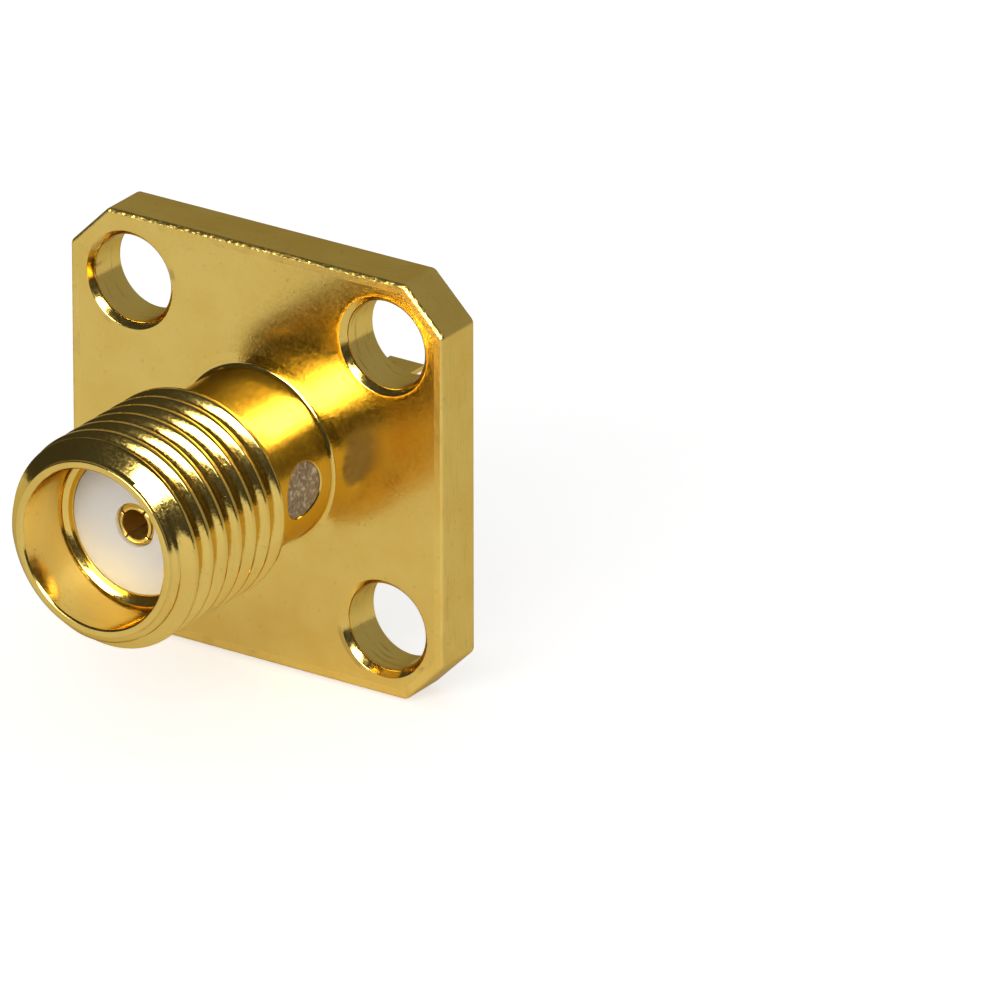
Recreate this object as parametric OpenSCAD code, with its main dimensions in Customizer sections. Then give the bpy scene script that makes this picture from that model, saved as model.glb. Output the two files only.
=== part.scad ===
// SMA jack with a square four-hole flange and a long insulator.
// The mating end points along -Y, and the flange's rear face lies on Y = 0.

/* [Flange] */
// Thickness of the flange
flange_t = 1.6; // [1:0.1:3]
// Leg of the 45 degree cut on each corner
corner_cut = 1.3; // [0.3:0.1:1.7]
// Spacing of the screw holes along each side
hole_pitch = 8.64; // [8.4:0.02:14]
// Distance from each hole's centre to the flange's sides
hole_edge = 2.03; // [1.95:0.01:4]
// Diameter of each screw hole
hole_d = 2.6; // [2:0.05:2.7]
// Bevel round both mouths of each screw hole
hole_bevel = 0.2; // [0.05:0.05:0.3]

/* [Barrel] */
// Diameter of the plain neck between flange and thread
neck_d = 5.22; // [5:0.02:5.4]
// Length of the plain neck
neck_len = 2.8; // [2.4:0.1:4]
// Radius of the fillet where the neck meets the flange
neck_fillet = 0.2; // [0.05:0.05:0.3]
// Outer diameter of the lip round the mouth
lip_d = 5.24; // [5.1:0.02:5.5]
// Length of the straight lip
lip_len = 0.1; // [0.05:0.01:0.3]

/* [Thread] */
// Outer diameter of the thread
thread_d = 6.35; // [6.1:0.01:6.6]
// Distance from one crest to the next
thread_pitch = 0.7056; // [0.6:0.0001:0.8]
// Number of full crests
thread_turns = 7; // [4:1:10]
// Length of the lead-in cone between the lip and the first crest
thread_lead = 0.5; // [0.2:0.05:0.8]

/* [Mouth] */
// Diameter of the counterbore that takes the mating plug
mouth_d = 4.76; // [4.6:0.01:4.8]
// Depth of the counterbore
mouth_depth = 2; // [1.6:0.1:3]
// Bevel inside the lip
mouth_bevel = 0.05; // [0.02:0.01:0.15]
// Bevel round the floor of the counterbore
floor_bevel = 0.08; // [0.02:0.01:0.1]

/* [Insulator] */
// Diameter of the white insulator
insulator_d = 4.15; // [3.8:0.01:4.3]
// How far the insulator stands out behind the flange
insulator_back = 3; // [0.5:0.1:8]
// How far its front face lies below the floor of the counterbore
insulator_sink = 0.05; // [0:0.01:0.3]
// Rounding of its rear edge
insulator_round = 0.25; // [0.05:0.05:0.5]
// Radial gap between the insulator and the body
insulator_gap = 0.01; // [0.005:0.005:0.04]

/* [Centre contact] */
// Diameter of the contact
contact_d = 1.27; // [1.1:0.01:1.4]
// Radial gap between the contact and the insulator
contact_gap = 0.02; // [0.005:0.005:0.05]
// How far its front end lies below the face of the insulator
contact_sink = 0.03; // [0:0.01:0.2]
// Bevel round the outside of its front end
contact_bevel = 0.1; // [0.02:0.01:0.12]
// Diameter of the socket for the mating pin
socket_d = 0.92; // [0.85:0.01:0.96]
// Depth of the socket, to the start of its drilled tip
socket_depth = 3; // [2:0.1:3.2]
// Width of the four slots that split the socket
slot_w = 0.1; // [0.08:0.01:0.25]
// Length of the slots
slot_len = 2.4; // [1:0.1:2.8]
// Turn of the slots about the axis
slot_turn = 55; // [0:5:90]
// Diameter of the waist that the epoxy grips
waist_d = 0.98; // [0.8:0.01:1.05]
// Length of the waist
waist_len = 1.3; // [1.2:0.05:1.8]

/* [Solder tab] */
// How far the contact stands out behind the insulator
tab_reach = 3; // [2.2:0.1:6]
// Width of the flat tab
tab_w = 1.18; // [0.8:0.01:1.2]
// Thickness of the flat tab
tab_t = 0.15; // [0.1:0.01:0.4]
// Height of the tab's underside above the axis
tab_rise = 0.03; // [-0.1:0.01:0.15]
// Length of the round stub above the tab
stub_len = 0.12; // [0.05:0.01:0.5]
// Corner radius of the step above the tab
step_round = 0.08; // [0.02:0.01:0.15]
// From the insulator to where the underside turns flat
under_len = 1.5; // [1.3:0.1:2]
// Radius of the cutter that clears the underside
under_round = 1.2; // [0.8:0.05:1.2]

/* [Epoxy plug] */
// Diameter of the cross hole through the neck
plug_d = 1.7; // [1.2:0.05:2]
// Diameter of the cross hole through the insulator
plug_core_d = 1; // [0.6:0.05:1.1]
// How far the plug's face lies below the neck
plug_sink = 0.05; // [0:0.01:0.2]
// Gap between the plug and the walls that it fills
plug_gap = 0.01; // [0.005:0.005:0.03]

/* [Hidden] */
$fn = 96;

past = 1; // how far a cut runs past the face that it opens

// Unified thread form: 60 degree flanks, crest flat 1/8 and root flat 1/4 of the pitch
thread_depth = thread_pitch * 0.625 * cos(30);
crest_flat = thread_pitch / 8;
thread_r = thread_d / 2;
root_r = thread_r - thread_depth;

flange_side = hole_pitch + 2 * hole_edge;

// Heights above the flange's rear face, towards the mouth
thread_z = flange_t + neck_len;
first_crest_z = thread_z + (thread_r - neck_d / 2) * tan(30);
last_crest_z = first_crest_z + (thread_turns - 1) * thread_pitch + crest_flat;
mouth_z = last_crest_z + thread_lead + lip_len;
floor_z = mouth_z - mouth_depth;
insulator_z = floor_z - insulator_sink;
contact_z = insulator_z - contact_sink;
plug_z = flange_t + neck_len / 2;
tab_end_z = -insulator_back - tab_reach;

bore_r = insulator_d / 2 + insulator_gap;
contact_bore_r = contact_d / 2 + contact_gap;
hole_spots = [for (x = [-1, 1], y = [-1, 1]) [x * hole_pitch / 2, y * hole_pitch / 2]];

// Turns the axis from +Z to -Y and keeps the part's own +Y upright
module on_axis() rotate([90, 0, 0]) children();

module flange() {
    half = flange_side / 2;
    near = half - corner_cut;
    linear_extrude(flange_t)
        polygon([[half, near], [near, half], [-near, half], [-half, near],
                 [-half, -near], [-near, -half], [near, -half], [half, -near]]);
}

// A screw hole, bevelled at both faces of the flange
module screw_hole() {
    wide = hole_d / 2 + hole_bevel;
    translate([0, 0, -past]) cylinder(d = hole_d, h = flange_t + 2 * past);
    for (end = [0, 1])
        translate([0, 0, end * flange_t]) mirror([0, 0, end])
            translate([0, 0, -hole_bevel]) cylinder(r1 = wide + hole_bevel, r2 = hole_d / 2, h = 2 * hole_bevel);
}

// Radius and height along the thread, four points for each crest
function thread_profile() =
    [for (turn = [0:thread_turns - 1])
        let (z = first_crest_z + turn * thread_pitch,
             flank = thread_depth * tan(30))
        each [if (turn > 0) [root_r, z - flank],
              [thread_r, z], [thread_r, z + crest_flat],
              if (turn < thread_turns - 1) [root_r, z + crest_flat + flank]]];

module barrel() {
    neck_r = neck_d / 2;
    lip_r = lip_d / 2;
    rotate_extrude() {
        polygon(concat([[0, 0], [neck_r, 0], [neck_r, thread_z]], thread_profile(),
                       [[lip_r, mouth_z - lip_len], [lip_r, mouth_z], [0, mouth_z]]));
        translate([neck_r, flange_t]) difference() {
            square(neck_fillet);
            translate([neck_fillet, neck_fillet]) circle(neck_fillet);
        }
    }
}

// Everything that is bored out of the body along its axis
module body_bore() {
    mouth_r = mouth_d / 2;
    rotate_extrude()
        polygon([[0, -past], [bore_r, -past], [bore_r, floor_z], [mouth_r - floor_bevel, floor_z],
                 [mouth_r, floor_z + floor_bevel], [mouth_r, mouth_z - mouth_bevel],
                 [mouth_r + mouth_bevel, mouth_z], [mouth_r + mouth_bevel, mouth_z + past], [0, mouth_z + past]]);
}

// A rod across the axis at the captivating hole, from the axis out to +X
module cross_rod(d, reach) translate([0, 0, plug_z]) rotate([0, 90, 0]) cylinder(d = d, h = reach);

module body() color([0.80, 0.64, 0.30]) on_axis() difference() {
    union() {
        flange();
        barrel();
    }
    body_bore();
    cross_rod(plug_d, thread_r);
    for (spot = hole_spots) translate(spot) screw_hole();
}

module insulator() color([0.90, 0.90, 0.92]) on_axis() difference() {
    r = insulator_d / 2;
    soft = insulator_round;
    rotate_extrude() {
        translate([contact_bore_r, -insulator_back + soft])
            square([r - contact_bore_r, insulator_z + insulator_back - soft]);
        translate([contact_bore_r, -insulator_back]) square([r - soft - contact_bore_r, soft]);
        translate([r - soft, -insulator_back + soft]) intersection() {
            circle(soft);
            translate([0, -soft]) square(soft);
        }
    }
    cross_rod(plug_core_d, thread_r);
}

// The rod that the contact is turned from, with its socket and its waist
module contact_rod() {
    r = contact_d / 2;
    bore = socket_d / 2;
    tip = bore / tan(59); // drilled with a 118 degree point
    bottom = contact_z - socket_depth;
    rotate_extrude()
        polygon([[0, tab_end_z], [r, tab_end_z], [r, plug_z - waist_len / 2], [waist_d / 2, plug_z - waist_len / 2],
                 [waist_d / 2, plug_z + waist_len / 2], [r, plug_z + waist_len / 2],
                 [r, contact_z - contact_bevel], [r - contact_bevel, contact_z],
                 [bore + contact_bevel / 2, contact_z], [bore, contact_z - contact_bevel / 2],
                 [bore, bottom], [0, bottom - tip]]);
}

// Side view, axis to the right, of what a cutter of this radius clears above a flat at height 0
module milled(stop, radius) {
    clear = tab_end_z - past;
    translate([clear, 0]) square([stop - clear, contact_d]);
    translate([clear, radius]) square([stop + radius - clear, contact_d]);
    translate([stop, radius]) circle(radius);
}

module tab_cuts() {
    step = -insulator_back - stub_len;
    rotate([0, -90, 0]) linear_extrude(2 * contact_d, center = true) {
        translate([0, tab_rise + tab_t]) milled(step - step_round, step_round);
        translate([0, tab_rise]) mirror([0, 1]) milled(-insulator_back - under_len, under_round);
    }
    for (side = [0, 1])
        mirror([side, 0, 0]) translate([tab_w / 2, -contact_d, tab_end_z - past])
            cube([contact_d, 2 * contact_d, step - tab_end_z + past]);
}

module centre_contact() color([0.83, 0.67, 0.31]) on_axis() difference() {
    contact_rod();
    for (turn = [0, 90])
        translate([0, 0, contact_z - slot_len]) rotate(slot_turn + turn)
            translate([-contact_d, -slot_w / 2, 0]) cube([2 * contact_d, slot_w, slot_len + past]);
    tab_cuts();
}

// Epoxy that locks the insulator and the contact into the body: a head in the neck's
// wall, and a stem that runs through the insulator to the contact's waist
module epoxy_plug() color([0.42, 0.36, 0.31]) on_axis() difference() {
    head_r = neck_d / 2 - plug_sink;
    union() {
        intersection() {
            cross_rod(plug_d - 2 * plug_gap, thread_r);
            difference() {
                cylinder(r = head_r, h = thread_z);
                cylinder(r = bore_r, h = thread_z);
            }
        }
        cross_rod(plug_core_d - 2 * plug_gap, (bore_r + head_r) / 2);
    }
    cylinder(r = waist_d / 2 + plug_gap, h = thread_z);
}

body();
insulator();
centre_contact();
epoxy_plug();
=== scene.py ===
import math
import random
import bpy
import bmesh
from mathutils import Matrix, Quaternion, Vector


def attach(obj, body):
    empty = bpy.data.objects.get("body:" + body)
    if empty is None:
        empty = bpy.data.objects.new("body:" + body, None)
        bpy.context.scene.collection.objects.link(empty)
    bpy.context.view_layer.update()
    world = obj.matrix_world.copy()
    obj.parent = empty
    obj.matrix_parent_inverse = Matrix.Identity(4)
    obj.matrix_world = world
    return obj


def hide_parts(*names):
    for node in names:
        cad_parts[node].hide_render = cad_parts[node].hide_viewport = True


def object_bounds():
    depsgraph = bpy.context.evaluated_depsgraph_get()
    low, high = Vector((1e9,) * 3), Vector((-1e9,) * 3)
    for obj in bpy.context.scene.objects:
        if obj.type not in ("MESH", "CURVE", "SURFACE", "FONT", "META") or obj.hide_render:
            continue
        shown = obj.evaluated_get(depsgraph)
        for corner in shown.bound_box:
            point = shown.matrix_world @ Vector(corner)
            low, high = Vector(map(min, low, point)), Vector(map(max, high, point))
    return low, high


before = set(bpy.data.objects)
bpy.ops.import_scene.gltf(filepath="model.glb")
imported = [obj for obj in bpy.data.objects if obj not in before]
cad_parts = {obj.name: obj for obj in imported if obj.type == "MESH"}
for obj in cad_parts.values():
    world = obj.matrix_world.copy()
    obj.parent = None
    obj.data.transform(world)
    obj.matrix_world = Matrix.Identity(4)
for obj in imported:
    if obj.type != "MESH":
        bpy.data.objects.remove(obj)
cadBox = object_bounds()
print("frame loaded")

mm = 0.001
turn = 2 * math.pi


# shaping helpers: x across, y up, h from the flange's back towards the mouth, all in mm

def at(x, y, h):
    return Vector((x, -h, y)) * mm


def ring(bm, radius, height, count, centre=(0, 0)):
    return [bm.verts.new(at(centre[0] + radius * math.cos(turn * j / count),
                            centre[1] + radius * math.sin(turn * j / count), height))
            for j in range(count)]


def bridge(bm, low, high, finish=0, skip=()):
    count = len(low)
    for j in range(count):
        if j in skip:
            continue
        k = (j + 1) % count
        corners = []
        for v in (low[j], low[k], high[k], high[j]):
            if v not in corners:
                corners.append(v)
        if len(corners) > 2:
            face = bm.faces.new(corners)
            face.material_index = finish
            face.smooth = True


def rounded(points, steps=3):
    # each point is (radius, height, corner radius); the ends stay sharp
    out = [points[0][:2]]
    for before, corner, after in zip(points, points[1:], points[2:]):
        size = corner[2]
        here = Vector(corner[:2])
        toBefore = Vector(before[:2]) - here
        toAfter = Vector(after[:2]) - here
        if size <= 0 or toBefore.length < 1e-9 or toAfter.length < 1e-9:
            out.append(corner[:2])
            continue
        half = toBefore.angle(toAfter) / 2
        back = min(size / math.tan(half), toBefore.length * 0.49, toAfter.length * 0.49)
        size = back * math.tan(half)
        start = here + toBefore.normalized() * back
        stop = here + toAfter.normalized() * back
        middle = here + (toBefore.normalized() + toAfter.normalized()).normalized() * (size / math.sin(half))
        arm, lastArm = start - middle, stop - middle
        swing = arm.angle_signed(lastArm)
        for k in range(steps + 1):
            angle = -swing * k / steps
            spun = Vector((arm.x * math.cos(angle) - arm.y * math.sin(angle),
                           arm.x * math.sin(angle) + arm.y * math.cos(angle)))
            out.append(tuple(middle + spun))
    out.append(points[-1][:2])
    return out


def fillFlat(bm, loops, finish=0):
    edges = []
    for loop in loops:
        for j, v in enumerate(loop):
            edge = bm.edges.get((v, loop[(j + 1) % len(loop)]))
            if edge is None:
                edge = bm.edges.new((v, loop[(j + 1) % len(loop)]))
            edges.append(edge)
    made = bmesh.ops.triangle_fill(bm, use_beauty=True, use_dissolve=False, edges=edges)
    for item in made["geom"]:
        if isinstance(item, bmesh.types.BMFace):
            item.material_index = finish
            item.smooth = True


def finishPiece(bm, name, materials, node):
    loose = [v for v in bm.verts if not v.link_faces]
    bmesh.ops.delete(bm, geom=loose, context="VERTS")
    bmesh.ops.recalc_face_normals(bm, faces=bm.faces)
    openEdges = sum(1 for e in bm.edges if len(e.link_faces) != 2)
    mesh = bpy.data.meshes.new(name)
    bm.to_mesh(mesh)
    bm.free()
    piece = bpy.data.objects.new(name, mesh)
    bpy.context.scene.collection.objects.link(piece)
    for material in materials:
        mesh.materials.append(material)
    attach(piece, "root")
    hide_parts(node)
    mesh.calc_loop_triangles()
    print(name, len(mesh.loop_triangles), "triangles,", openEdges, "open edges")
    return piece


# gold finishes and the rest

def nodeIn(tree, kind, **settings):
    node = tree.nodes.new(kind)
    for key, value in settings.items():
        setattr(node, key, value)
    return node


def newMaterial(name):
    material = bpy.data.materials.new(name)
    material.use_nodes = True
    tree = material.node_tree
    return material, tree, tree.nodes["Principled BSDF"]


def newGroup(name, inputs, outputs):
    group = bpy.data.node_groups.new(name, "ShaderNodeTree")
    for label, value in inputs.items():
        group.interface.new_socket(label, in_out="INPUT", socket_type="NodeSocketFloat").default_value = value
    for label in outputs:
        group.interface.new_socket(label, in_out="OUTPUT", socket_type="NodeSocketFloat")
    return group, nodeIn(group, "NodeGroupInput").outputs, nodeIn(group, "NodeGroupOutput").inputs


def mathOf(tree, kind, *terms):
    # one Math node; a term is a socket or a number
    node = nodeIn(tree, "ShaderNodeMath", operation=kind)
    for k, term in enumerate(terms):
        if isinstance(term, (int, float)):
            node.inputs[k].default_value = term
        else:
            tree.links.new(term, node.inputs[k])
    return node.outputs[0]


def spread(tree, value, fromLow, fromHigh, low, high):
    node = nodeIn(tree, "ShaderNodeMapRange", interpolation_type="SMOOTHSTEP")
    for label, number in (("From Min", fromLow), ("From Max", fromHigh), ("To Min", low), ("To Max", high)):
        node.inputs[label].default_value = number
    tree.links.new(value, node.inputs["Value"])
    return node.outputs["Result"]


def inMillimetres(tree):
    place = nodeIn(tree, "ShaderNodeTexCoord")
    grown = nodeIn(tree, "ShaderNodeVectorMath", operation="SCALE")
    grown.inputs["Scale"].default_value = 1 / mm
    tree.links.new(place.outputs["Object"], grown.inputs[0])
    return grown.outputs[0]


def mottle(tree, vector, scale, detail, w=None):
    node = nodeIn(tree, "ShaderNodeTexNoise", noise_dimensions="3D" if w is None else "4D")
    tree.links.new(vector, node.inputs["Vector"])
    if w is not None:
        tree.links.new(w, node.inputs["W"])
    if isinstance(scale, (int, float)):
        node.inputs["Scale"].default_value = scale
    else:
        tree.links.new(scale, node.inputs["Scale"])
    node.inputs["Detail"].default_value = detail
    return node.outputs["Fac"]


def grainGroup():
    # soft patches, fine grain and scattered specks; the scales are counts a millimetre
    group, given, out = newGroup("platingGrain", {"Patches": 0.8, "Grain": 9.0, "Specks": 5.0},
                                 ("Patch", "Fine", "Speck", "Height"))
    spot = inMillimetres(group)
    patch = mottle(group, spot, given["Patches"], 4)
    fine = mottle(group, spot, given["Grain"], 2)
    speck = spread(group, mottle(group, spot, given["Specks"], 1), 0.66, 0.76, 0, 1)
    group.links.new(spread(group, patch, 0.3, 0.7, 0, 1), out["Patch"])
    group.links.new(spread(group, fine, 0.25, 0.75, 0, 1), out["Fine"])
    group.links.new(speck, out["Speck"])
    group.links.new(mathOf(group, "MULTIPLY_ADD", speck, 0.8, fine), out["Height"])
    return group


def toolMarkGroup():
    # fine lines that a cutter leaves: round the axis where Around is 1, along an edge where it is 0
    group, given, out = newGroup("toolMarks", {"Across": 11.0, "Along": 0.5, "Around": 1.0},
                                 ("Height", "Groove"))
    split = nodeIn(group, "ShaderNodeSeparateXYZ")
    group.links.new(inMillimetres(group), split.inputs[0])
    x, y, z = split.outputs
    squares = mathOf(group, "ADD", mathOf(group, "MULTIPLY", x, x), mathOf(group, "MULTIPLY", z, z))
    radius = mathOf(group, "MULTIPLY", mathOf(group, "SQRT", squares), given["Around"])
    place = nodeIn(group, "ShaderNodeCombineXYZ")
    for axis, value, scale in (("X", radius, "Across"), ("Y", y, "Across"), ("Z", x, "Along")):
        group.links.new(mathOf(group, "MULTIPLY", value, given[scale]), place.inputs[axis])
    lines = mottle(group, place.outputs[0], 1.0, 3, mathOf(group, "MULTIPLY", z, given["Along"]))
    group.links.new(lines, out["Height"])
    group.links.new(spread(group, lines, 0.56, 0.64, 0, 1), out["Groove"])
    return group


grain, toolMarks = grainGroup(), toolMarkGroup()


def placed(tree, group, **values):
    node = nodeIn(tree, "ShaderNodeGroup", node_tree=group)
    for label, value in values.items():
        node.inputs[label].default_value = value
    return node.outputs


def blended(tree, first, second, amount):
    # a colour between two; each is a colour or a socket
    node = nodeIn(tree, "ShaderNodeMix", data_type="RGBA")
    tree.links.new(amount, node.inputs[0])
    for socket, colour in ((node.inputs[6], first), (node.inputs[7], second)):
        if isinstance(colour, tuple):
            socket.default_value = (*colour, 1)
        else:
            tree.links.new(colour, socket)
    return node.outputs[2]


def raised(tree, shader, height, micrometres):
    bump = nodeIn(tree, "ShaderNodeBump")
    bump.inputs["Distance"].default_value = micrometres * mm * mm
    tree.links.new(height, bump.inputs["Height"])
    tree.links.new(bump.outputs[0], shader.inputs["Normal"])


# stainAndGrooveShade is the colour of real random stain specks and also of the painted shade inside tool-mark
# grooves
goldLook = {"clean": (0.83, 0.60, 0.155), "warm": (0.80, 0.55, 0.13), "stainAndGrooveShade": (0.60, 0.41, 0.11),
            "edgeTint": (0.75, 0.62, 0.4)}


def platedGold(name, rough, roughSpread, grainSize, grainDepth, marks=None, markDepth=0, paintedGrooveShade=0):
    material, tree, shader = newMaterial(name)
    shader.inputs["Metallic"].default_value = 1
    shader.inputs["Specular Tint"].default_value = (*goldLook["edgeTint"], 1)
    grit = placed(tree, grain, Patches=0.9, Grain=grainSize, Specks=grainSize * 0.45)
    colour = blended(tree, goldLook["clean"], goldLook["warm"], grit["Patch"])
    colour = blended(tree, colour, goldLook["stainAndGrooveShade"], mathOf(tree, "MULTIPLY", grit["Speck"], 0.35))
    height = mathOf(tree, "MULTIPLY", grit["Height"], grainDepth)
    roughness = spread(tree, grit["Fine"], 0, 1, rough - roughSpread, rough + roughSpread)
    if marks:
        lines = placed(tree, toolMarks, **marks)
        height = mathOf(tree, "MULTIPLY_ADD", lines["Height"], markDepth, height)
        # painted shade: the tool-mark grooves are tinted towards the darker gold, standing in for the shade
        # inside them
        if paintedGrooveShade:
            grooveShadeAmount = mathOf(tree, "MULTIPLY", lines["Groove"], paintedGrooveShade)
            colour = blended(tree, colour, goldLook["stainAndGrooveShade"], grooveShadeAmount)
    tree.links.new(colour, shader.inputs["Base Color"])
    tree.links.new(roughness, shader.inputs["Roughness"])
    raised(tree, shader, height, 1.0)
    return material


satinGold = platedGold("satinGold", 0.19, 0.03, 11, 1.2)
turnedGold = platedGold("turnedGold", 0.13, 0.03, 12, 1.6,
                        {"Across": 14, "Along": 0.6, "Around": 1}, 1.2, 0.15)
drilledGold = platedGold("drilledGold", 0.16, 0.04, 9, 1.0,
                         {"Across": 7, "Along": 0.7, "Around": 0}, 9.0, 1.0)
milledGold = platedGold("milledGold", 0.33, 0.05, 10, 1.6,
                        {"Across": 12, "Along": 0.8, "Around": 0}, 2.5, 0.3)
contactGold = platedGold("contactGold", 0.18, 0.04, 12, 1.5,
                         {"Across": 14, "Along": 0.8, "Around": 1}, 1.0, 0.1)
stampedGold = platedGold("stampedGold", 0.30, 0.08, 13, 14.0)
boredGold = platedGold("boredGold", 0.40, 0.05, 10, 1.0)


def milkyPtfe():
    look = {"cool": (0.78, 0.80, 0.86), "warm": (0.82, 0.82, 0.83), "rough": 0.42, "milk": 0.35}
    material, tree, shader = newMaterial("whitePtfe")
    shader.inputs["Subsurface Weight"].default_value = look["milk"]
    shader.inputs["Subsurface Scale"].default_value = 0.7 * mm
    shader.inputs["Subsurface Radius"].default_value = (1.0, 0.95, 0.85)
    grit = placed(tree, grain, Patches=0.5, Grain=7, Specks=3)
    tree.links.new(blended(tree, look["cool"], look["warm"], grit["Patch"]), shader.inputs["Base Color"])
    tree.links.new(spread(tree, grit["Fine"], 0, 1, look["rough"] - 0.05, look["rough"] + 0.05),
                   shader.inputs["Roughness"])
    lines = placed(tree, toolMarks, Across=9, Along=0.4, Around=1)
    height = mathOf(tree, "MULTIPLY_ADD", lines["Height"], 1.2, mathOf(tree, "MULTIPLY", grit["Height"], 1.0))
    raised(tree, shader, height, 1.0)
    return material


def grittyEpoxy():
    look = {"resin": (0.29, 0.215, 0.165), "pale": (0.62, 0.55, 0.46), "dark": (0.17, 0.12, 0.09),
            "rough": 0.38}
    material, tree, shader = newMaterial("curedEpoxy")
    grit = placed(tree, grain, Patches=2.2, Grain=8.5, Specks=7)
    colour = blended(tree, look["resin"], look["dark"], grit["Patch"])
    colour = blended(tree, colour, look["pale"], mathOf(tree, "POWER", grit["Fine"], 3))
    tree.links.new(colour, shader.inputs["Base Color"])
    tree.links.new(spread(tree, grit["Fine"], 0, 1, look["rough"] - 0.1, look["rough"] + 0.15),
                   shader.inputs["Roughness"])
    raised(tree, shader, grit["Height"], 12)
    return material


ptfe, epoxy = milkyPtfe(), grittyEpoxy()
print("finishes ready")


# body

flange = {"side": 12.7, "thick": 1.6, "cut": 1.3, "cornerRound": 0.25, "edgeRound": 0.1,
          "sideSteps": 190, "cutSteps": 34, "cornerSteps": 6, "burr": 0.36, "plainEdge": 0.05, "border": 0.3}
screwHole = {"radius": 1.3, "bevel": 0.18, "pitch": 8.64, "border": 0.15, "segments": 128}
barrel = {"neck": 2.61, "neckTop": 4.4, "fillet": 0.2, "lip": 2.62, "lipStart": 9.548, "mouthTop": 9.648,
          "mouth": 2.38, "mouthBevel": 0.05, "floor": 7.648, "floorCone": 0.155, "floorRise": 0.08,
          "bore": 2.085, "segments": 288}
screwThread = {"radius": 3.175, "pitch": 0.7056, "leadCone": 0.4, "crest": 0.15, "crestRound": 0.07,
               "rootRound": 0.04, "start": 0.336}
crossHole = {"radius": 0.85, "height": 3.0, "reach": 22, "rows": 24, "low": 1.9, "high": 4.1}


def flangeRing(bm, inset, height):
    half = flange["side"] / 2 - inset
    near = flange["side"] / 2 - flange["cut"] - inset * math.tan(math.pi / 8)
    size = max(flange["cornerRound"] - inset, 0.02)
    corners = [(half, near), (near, half), (-near, half), (-half, near),
               (-half, -near), (-near, -half), (near, -half), (half, -near)]
    points = []
    for k in range(8):
        corner, after = Vector(corners[k]), Vector(corners[(k + 1) % 8])
        before = Vector(corners[k - 1])
        back = size * math.tan(math.pi / 8)
        inward, outward = (corner - before).normalized(), (after - corner).normalized()
        centre = corner - inward * back + Vector((-inward.y, inward.x)) * size
        first = math.atan2(-inward.x, inward.y)
        for s in range(flange["cornerSteps"] + 1):
            angle = first + math.pi / 4 * s / flange["cornerSteps"]
            points.append(centre + Vector((math.cos(angle), math.sin(angle))) * size)
        stop = corner + outward * back
        nextStart = after - outward * back
        steps = flange["cutSteps"] if k % 2 == 0 else flange["sideSteps"]
        for s in range(1, steps):
            points.append(stop.lerp(nextStart, s / steps))
    return [bm.verts.new(at(p.x, p.y, height)) for p in points]


def threadShape():
    # one pitch of the unified form: crest flat, front flank, root flat, rear flank
    pitch, crestR = screwThread["pitch"], screwThread["radius"]
    rootR = crestR - pitch * 0.625 * math.cos(math.pi / 6)
    crest, flank = screwThread["crest"], (crestR - rootR) * math.tan(math.pi / 6)
    soft, deep = screwThread["crestRound"], screwThread["rootRound"]
    corners = [(rootR, -flank, 0), (crestR, 0, soft), (crestR, crest, soft), (rootR, crest + flank, deep),
               (rootR, pitch - flank, deep), (crestR, pitch, 0)]
    path = rounded(corners, 3)[1:-1]
    shape = []
    for k, (r, h) in enumerate(path):
        shape.append((r, h))
        after = path[k + 1] if k + 1 < len(path) else (path[0][0], path[0][1] + pitch)
        if abs(after[0] - r) > 0.2:
            shape += [(r + (after[0] - r) * s / 3, h + (after[1] - h) * s / 3) for s in (1, 2)]
    return shape


def threadEnvelope(h):
    rear = barrel["neck"] + (h - barrel["neckTop"]) / math.tan(math.pi / 6)
    slope = (screwThread["radius"] - barrel["lip"]) / screwThread["leadCone"]
    front = barrel["lip"] + (barrel["lipStart"] - h) * slope
    return min(rear, front)


def cutThread(bm, lowRing, highRing, finish):
    shape = threadShape()
    count, perTurn, pitch = len(lowRing), len(shape), screwThread["pitch"]
    low, high = barrel["neckTop"], barrel["lipStart"]
    base = low - 2 * pitch + screwThread["start"]
    turns = math.ceil((high - base) / pitch) + 1
    columns = []
    for j in range(count):
        column = []
        for i in range(turns * perTurn):
            r, step = shape[i % perTurn]
            h = base + (i // perTurn) * pitch + step + pitch * j / count
            if h <= low + 1e-4:
                column.append(lowRing[j])
            elif h >= high - 1e-4:
                column.append(highRing[j])
            else:
                radius = min(r, threadEnvelope(h))
                angle = turn * j / count
                column.append(bm.verts.new(at(radius * math.cos(angle), radius * math.sin(angle), h)))
        columns.append(column)
    for j in range(count):
        left, right = columns[j], columns[(j + 1) % count]
        shift = perTurn if j == count - 1 else 0
        for i in range(len(left) - 1 - shift):
            corners = []
            for v in (left[i], right[i + shift], right[i + 1 + shift], left[i + 1]):
                if v not in corners:
                    corners.append(v)
            if len(corners) > 2:
                face = bm.faces.new(corners)
                face.material_index = finish
                face.smooth = True


def lathe(bm, points, count, finish, first=None):
    rings = [first] if first else [ring(bm, *points[0], count)]
    for r, h in points[1:]:
        rings.append(ring(bm, r, h, count))
        bridge(bm, rings[-2], rings[-1], finish)
    return rings


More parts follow.
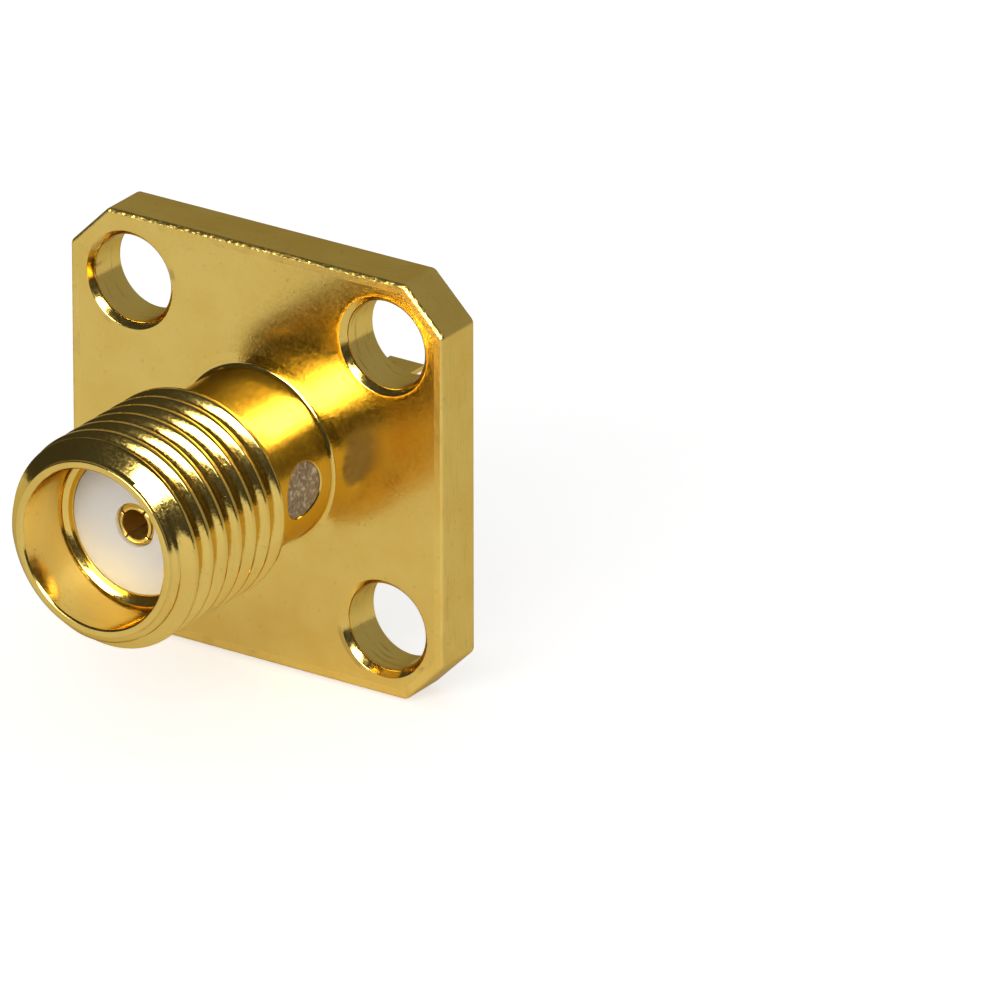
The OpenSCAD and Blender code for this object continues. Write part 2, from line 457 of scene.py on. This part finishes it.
def wallWithHole(bm, radius, heights, count, below, above, finish, hole):
    # a plain round wall with a window left open for the cross hole, closed again round its rim
    rows = [below] + [ring(bm, radius, h, count) for h in heights] + [above]
    reach = crossHole["reach"]
    gap = [j % count for j in range(-reach, reach)]
    for k in range(len(rows) - 1):
        bridge(bm, rows[k], rows[k + 1], finish, gap if 1 <= k < len(rows) - 2 else ())
    low, high = rows[1], rows[-2]
    inner = rows[2:-2]
    edge = [low[j % count] for j in range(-reach, reach)]
    edge += [low[reach]] + [row[reach] for row in inner]
    edge += [high[j % count] for j in range(reach, -reach - 1, -1)]
    edge += [row[-reach] for row in reversed(inner)]
    spots = [(v.co.x / mm, v.co.z / mm, -v.co.y / mm) for v in edge]
    loops = [edge]
    for share in (0.7, 0.4, 0.15, 0.04, 0):
        loop = []
        for x, y, h in spots:
            angle = math.atan2(h - crossHole["height"], y)
            rimY = hole * math.cos(angle)
            rimH = crossHole["height"] + hole * math.sin(angle)
            nowY, nowH = rimY + (y - rimY) * share, rimH + (h - rimH) * share
            loop.append(bm.verts.new(at(math.sqrt(radius ** 2 - nowY ** 2), nowY, nowH)))
        bridge(bm, loops[-1], loop, finish)
        loops.append(loop)
    return loops[-1]


def crumbleEdge(rings, dice):
    # the cutter leaves a crumbled burr along the top of the front face and along the cut beside it
    slant = math.sqrt(0.5)
    sides = [(Vector((math.cos(turn * k / 8), math.sin(turn * k / 8))),
              (flange["side"] - flange["cut"]) * slant if k % 2 else flange["side"] / 2) for k in range(8)]
    size = flange["edgeRound"]
    for row in rings:
        for v in row:
            spot, h = Vector((v.co.x, v.co.z)) / mm, -v.co.y / mm
            depth, k = min((reach - spot.dot(way), k) for k, (way, reach) in enumerate(sides))
            share = dice.random() * (flange["burr"] if k in (1, 2) else flange["plainEdge"])
            spot -= sides[k][0] * (size - depth) * share
            v.co = at(spot.x, spot.y, h + (flange["thick"] - size - h) * share)


def screwHoleRings(bm, centre):
    r, bevel, thick = screwHole["radius"], screwHole["bevel"], flange["thick"]
    border = r + bevel + screwHole["border"]
    corners = [(border, thick, 0), (r + bevel, thick, 0.05), (r, thick - bevel, 0.12),
               (r, bevel, 0.12), (r + bevel, 0, 0.05), (border, 0, 0)]
    points = rounded(corners, 4)
    rings = []
    for radius, h in points:
        rings.append(ring(bm, radius, h, screwHole["segments"], centre))
        if len(rings) > 1:
            bridge(bm, rings[-2], rings[-1], 3)
    return rings


def makeBody():
    bm = bmesh.new()
    thick, size, border = flange["thick"], flange["edgeRound"], flange["border"]
    side = rounded([(-border, thick, 0), (0, thick, size), (0, 0, size), (-border, 0, 0)], 5)
    hold = size + 0.015  # a short step beside each rounding keeps the flat faces flat
    side[1:1] = [(-hold, thick)]
    side[8:8] = [(0, thick - hold), (0, hold)]
    side[-1:-1] = [(-hold, 0)]
    rings = [flangeRing(bm, -r, h) for r, h in side]
    dice = random.Random(41)
    crumbleEdge(rings[3:7], dice)
    for k in range(len(rings) - 1):
        bridge(bm, rings[k], rings[k + 1], 2)
    front, back = [rings[0]], [rings[-1]]
    half = screwHole["pitch"] / 2
    for x in (-half, half):
        for y in (-half, half):
            holeRings = screwHoleRings(bm, (x, y))
            front.append(holeRings[0])
            back.append(holeRings[-1])
    count, b = barrel["segments"], barrel
    foot = rounded([(b["neck"] + b["fillet"] + 0.25, thick, 0), (b["neck"], thick, b["fillet"]),
                    (b["neck"], crossHole["low"] - 0.02, 0)], 6)
    footRings = lathe(bm, foot[:-1], count, 1)
    neckTop = ring(bm, b["neck"], b["neckTop"], count)
    rows, hole = crossHole["rows"], crossHole["radius"]
    heights = [crossHole["low"] + (crossHole["high"] - crossHole["low"]) * k / rows for k in range(rows + 1)]
    outerRim = wallWithHole(bm, b["neck"], heights, count, footRings[-1], neckTop, 0, hole)
    lipRing = ring(bm, b["lip"], b["lipStart"], count)
    cutThread(bm, neckTop, lipRing, 1)
    mouth = rounded([(b["lip"], b["lipStart"], 0), (b["lip"], b["mouthTop"], 0.03),
                     (b["mouth"] + b["mouthBevel"], b["mouthTop"], 0.015),
                     (b["mouth"], b["mouthTop"] - b["mouthBevel"], 0.02),
                     (b["mouth"], b["floor"] + b["floorRise"], 0.015),
                     (b["mouth"] - b["floorCone"], b["floor"], 0.02),
                     (b["bore"], b["floor"], 0.015), (b["bore"], crossHole["high"] + 0.2, 0)], 3)
    mouthRings = lathe(bm, mouth, count, 1, lipRing)
    rear = rounded([(b["bore"], crossHole["low"] - 0.2, 0), (b["bore"], 0, 0.05), (b["bore"] + 0.4, 0, 0)], 3)
    rearRings = lathe(bm, rear, count, 1)
    innerRim = wallWithHole(bm, b["bore"], heights, count, rearRings[0], mouthRings[-1], 1, hole)
    bridge(bm, outerRim, innerRim, 1)
    fillFlat(bm, front + [footRings[0]], 0)
    fillFlat(bm, back + [rearRings[-1]], 0)
    finishes = [satinGold, turnedGold, milledGold, drilledGold]
    return finishPiece(bm, "goldBody", finishes, "body")


goldBody = makeBody()


# insulator

insulator = {"radius": 2.075, "front": 7.598, "back": -3.0, "round": 0.25, "bore": 0.655, "segments": 160}


def makeInsulator():
    bm = bmesh.new()
    r, top, low, bore = (insulator[k] for k in ("radius", "front", "back", "bore"))
    outline = rounded([(bore, 3.0, 0), (bore, top, 0.015), (r, top, 0.02), (r, 3.0, 0),
                       (r, low, insulator["round"]),
                       (bore, low, 0.03), (bore, 3.0, 0)], 6)[:-1]
    rings = lathe(bm, outline, insulator["segments"], 0)
    bridge(bm, rings[-1], rings[0])
    return finishPiece(bm, "ptfeRod", [ptfe], "insulator")


ptfeRod = makeInsulator()


# centre contact

contact = {"radius": 0.635, "front": 7.568, "socket": 0.46, "tipSocket": 0.44, "socketDepth": 3.0,
           "bevel": 0.1, "slot": 0.06, "slotLength": 2.4, "slotTurn": 55, "waist": 0.49, "waistLow": 2.35,
           "waistHigh": 3.65,
           "back": -6.0, "tabHalf": 0.59, "tabTop": 0.18, "tabUnder": 0.03, "step": -3.12, "stepRound": 0.08,
           "underFlat": -4.5, "underRound": 1.2, "segments": 96}


def tempCutter(bm, name):
    bmesh.ops.recalc_face_normals(bm, faces=bm.faces)
    mesh = bpy.data.meshes.new(name)
    bm.to_mesh(mesh)
    bm.free()
    cutter = bpy.data.objects.new(name, mesh)
    bpy.context.scene.collection.objects.link(cutter)
    return cutter


def cutWith(piece, cutter):
    cut = piece.modifiers.new("cut", "BOOLEAN")
    cut.operation, cut.solver, cut.object = "DIFFERENCE", "EXACT", cutter
    bpy.context.view_layer.objects.active = piece
    bpy.ops.object.modifier_apply(modifier=cut.name)
    bpy.data.objects.remove(cutter)


def slab(bm, lowCorner, highCorner, spin=0):
    made = bmesh.ops.create_cube(bm, size=1)["verts"]
    for v in made:
        p = [lowCorner[k] + (v.co[k] + 0.5) * (highCorner[k] - lowCorner[k]) for k in range(3)]
        a = math.radians(spin)
        v.co = at(p[0] * math.cos(a) - p[1] * math.sin(a), p[0] * math.sin(a) + p[1] * math.cos(a), p[2])


def sideMill(outline, half, name):
    # a prism with its outline seen from the side, as (h, y), and its length across
    bm = bmesh.new()
    ends = [[bm.verts.new(at(x, y, h)) for h, y in outline] for x in (-half, half)]
    for end in ends:
        bm.faces.new(end)
    bridge(bm, *ends)
    return tempCutter(bm, name)


def arc(centre, radius, start, stop, steps):
    angles = [math.radians(start + (stop - start) * k / steps) for k in range(steps + 1)]
    return [(centre[0] + radius * math.cos(a), centre[1] + radius * math.sin(a)) for a in angles]


def makeContact():
    bm = bmesh.new()
    c = contact
    bottom = c["front"] - c["socketDepth"]
    drillTip = bottom - c["socket"] / math.tan(math.radians(59))
    outline = rounded([(0.001, drillTip, 0), (c["socket"], bottom, 0.02),
                       (c["socket"], c["front"] - 0.8, 0), (c["tipSocket"], c["front"] - 0.03, 0.02),
                       (c["tipSocket"] + 0.02, c["front"], 0.01), (c["radius"] - c["bevel"], c["front"], 0.02),
                       (c["radius"], c["front"] - c["bevel"], 0.03), (c["radius"], c["waistHigh"], 0.02),
                       (c["waist"], c["waistHigh"], 0.02), (c["waist"], c["waistLow"], 0.02),
                       (c["radius"], c["waistLow"], 0.02), (c["radius"], c["back"], 0.0),
                       (0.001, c["back"], 0)], 3)
    rings = lathe(bm, outline, c["segments"], 0)
    bm.faces.new(rings[0])
    bm.faces.new(rings[-1])
    finishes = [contactGold, stampedGold, boredGold]
    piece = finishPiece(bm, "springContact", finishes, "centre_contact")
    slots = bmesh.new()
    for k in (0, 90):
        slab(slots, (-1, -c["slot"] / 2, c["front"] - c["slotLength"]), (1, c["slot"] / 2, c["front"] + 1),
             c["slotTurn"] + k)
    cutWith(piece, tempCutter(slots, "slotSaw"))
    past = c["back"] - 1
    stepCorner = (c["step"] - c["stepRound"], c["tabTop"] + c["stepRound"])
    above = [(past, c["tabTop"])] + arc(stepCorner, c["stepRound"], -90, 0, 8) + [(c["step"], 1), (past, 1)]
    cutWith(piece, sideMill(above, 1, "tabMill"))
    rampCentre = (c["underFlat"], c["tabUnder"] - c["underRound"])
    below = [(past, c["tabUnder"])] + arc(rampCentre, c["underRound"], 90, 0, 24) + [(past, rampCentre[1])]
    cutWith(piece, sideMill(below, 1, "underMill"))
    sides = bmesh.new()
    for k in (-1, 1):
        slab(sides, (min(k * c["tabHalf"], k), -1, past), (max(k * c["tabHalf"], k), 1, c["step"]))
    cutWith(piece, tempCutter(sides, "sideMill"))
    for face in piece.data.polygons:
        middle = face.center / mm
        if math.hypot(middle.x, middle.z) < c["socket"] + 0.005 and -middle.y > c["waistLow"]:
            face.material_index = 2
        elif -middle.y < c["step"] + 0.002:
            face.material_index = 1
            face.use_smooth = False
    return piece


springContact = makeContact()


# epoxy plug

plug = {"radius": 0.84, "stem": 0.49, "shoulder": 2.1, "stemEnd": 0.1, "sink": 0.05, "rings": 20,
        "segments": 96}


def makePlug():
    bm = bmesh.new()
    count = plug["segments"]

    def loop(radius, reach):
        made = []
        for j in range(count):
            y, h = radius * math.cos(turn * j / count), radius * math.sin(turn * j / count)
            x = reach if reach is not None else math.sqrt((barrel["neck"]) ** 2 - y * y) - plug["sink"]
            made.append(bm.verts.new(at(x, y, h + crossHole["height"])))
        return made
    rings = [loop(plug["radius"] * s / plug["rings"], None) for s in range(1, plug["rings"] + 1)]
    rings += [loop(plug["radius"], plug["shoulder"]), loop(plug["stem"], plug["shoulder"]),
              loop(plug["stem"], plug["stemEnd"])]
    for k in range(len(rings) - 1):
        bridge(bm, rings[k], rings[k + 1])
    bm.faces.new(rings[0])
    bm.faces.new(rings[-1])
    return finishPiece(bm, "epoxyPlug", [epoxy], "epoxy_plug")


epoxyPlug = makePlug()


# floor, light and camera

def makeFloor():
    bm = bmesh.new()
    bmesh.ops.create_circle(bm, cap_ends=True, segments=96, radius=studio["floorReach"])
    mesh = bpy.data.meshes.new("paleFloor")
    bm.to_mesh(mesh)
    bm.free()
    floor = bpy.data.objects.new("paleFloor", mesh)
    floor.location = (0, 0, cadBox[0][2] - 0.0001)
    bpy.context.scene.collection.objects.link(floor)
    material, tree, shader = newMaterial("paleFloor")
    shader.inputs["Base Color"].default_value = (0.7, 0.7, 0.7, 1)
    shader.inputs["Roughness"].default_value = 0.8
    # the camera sees it white, the metal sees it pale
    path = nodeIn(tree, "ShaderNodeLightPath")
    shine = nodeIn(tree, "ShaderNodeMath", operation="MULTIPLY")
    tree.links.new(path.outputs["Is Glossy Ray"], shine.inputs[0])
    shine.inputs[1].default_value = studio["floorShine"]
    glow = nodeIn(tree, "ShaderNodeMath", operation="MULTIPLY_ADD")
    tree.links.new(path.outputs["Is Camera Ray"], glow.inputs[0])
    glow.inputs[1].default_value = studio["floorGlow"]
    tree.links.new(shine.outputs[0], glow.inputs[2])
    shader.inputs["Emission Color"].default_value = (1, 1, 1, 1)
    tree.links.new(glow.outputs[0], shader.inputs["Emission Strength"])
    mesh.materials.append(material)
    return floor


studio = {"backdrop": 0.33, "gap": 0.05, "softboxPower": 3.2, "sheenPower": 10.8,
          "room": 0.5, "floorShine": 0.22, "floorGlow": 0.6, "floorReach": 0.075}


def makeWorld():
    # white to the camera; to the metal, a pale backdrop behind and a dark room in front
    world = bpy.data.worlds.new("studioWorld")
    bpy.context.scene.world = world
    world.use_nodes = True
    tree = world.node_tree
    background = tree.nodes["Background"]
    background.inputs["Color"].default_value = (1, 1, 1, 1)
    place = nodeIn(tree, "ShaderNodeTexCoord")
    split = nodeIn(tree, "ShaderNodeSeparateXYZ")
    tree.links.new(place.outputs["Generated"], split.inputs[0])
    fade = nodeIn(tree, "ShaderNodeMapRange", interpolation_type="SMOOTHSTEP")
    fade.inputs["From Min"].default_value = 0.1
    fade.inputs["From Max"].default_value = 0.5
    fade.inputs["To Min"].default_value = studio["gap"]
    fade.inputs["To Max"].default_value = studio["backdrop"]
    tree.links.new(split.outputs["Y"], fade.inputs["Value"])
    path = nodeIn(tree, "ShaderNodeLightPath")
    strength = fade.outputs["Result"]
    for ray, level in (("Is Diffuse Ray", studio["room"]), ("Is Camera Ray", 1)):
        pick = nodeIn(tree, "ShaderNodeMix", data_type="FLOAT")
        tree.links.new(path.outputs[ray], pick.inputs[0])
        tree.links.new(strength, pick.inputs[2])
        pick.inputs[3].default_value = level
        strength = pick.outputs[0]
    tree.links.new(strength, background.inputs["Strength"])


def softbox(name, azimuth, elevation, tilt, distance, width, height, power):
    a, e = math.radians(azimuth), math.radians(elevation)
    away = Vector((math.sin(a) * math.cos(e), -math.cos(a) * math.cos(e), math.sin(e)))
    data = bpy.data.lights.new(name, "AREA")
    data.shape, data.size, data.size_y = "RECTANGLE", width, height
    # power is the brightness of the lit face
    data.energy = power * width * height * math.pi
    lamp = bpy.data.objects.new(name, data)
    lamp.location = away * distance
    lamp.rotation_mode = "QUATERNION"
    lamp.rotation_quaternion = away.to_track_quat("Z", "Y") @ Quaternion((0, 0, 1), math.radians(tilt))
    bpy.context.scene.collection.objects.link(lamp)
    return lamp


makeFloor()
makeWorld()
softbox("keySoftbox", 9, 29, 24, 0.5, 0.54, 0.18, studio["softboxPower"])
# the same box seen once more by the metal alone, so that its shine doesn't overlight the insulator
softbox("sheenSoftbox", 9, 29, 24, 0.501, 0.54, 0.18, studio["sheenPower"]).visible_diffuse = False


def makeCamera():
    view = {"azimuth": 33.864, "elevation": 23.637, "roll": 0.052, "distance": 500, "scale": 35.386,
            "across": 5.9769, "up": -1.8253}
    a, e = math.radians(view["azimuth"]), math.radians(view["elevation"])
    right = Vector((math.cos(a), math.sin(a), 0))
    back = Vector((math.sin(a) * math.cos(e), -math.cos(a) * math.cos(e), math.sin(e)))
    up = back.cross(right)
    spin = Matrix.Rotation(-math.radians(view["roll"]), 3, back)
    right, up = spin @ right, spin @ up
    eye = (right * view["across"] + up * view["up"] + back * view["distance"]) * mm
    data = bpy.data.cameras.new("productCamera")
    data.sensor_width = 36
    data.lens = view["scale"] * view["distance"] / 1000 * 36
    data.clip_start, data.clip_end = 0.05, 10
    camera = bpy.data.objects.new("productCamera", data)
    camera.matrix_world = Matrix((right, up, back)).transposed().to_4x4()
    camera.location = eye
    bpy.context.scene.collection.objects.link(camera)
    bpy.context.scene.camera = camera


makeCamera()
print("studio ready")
bpy.context.scene.view_settings.view_transform = "Standard"
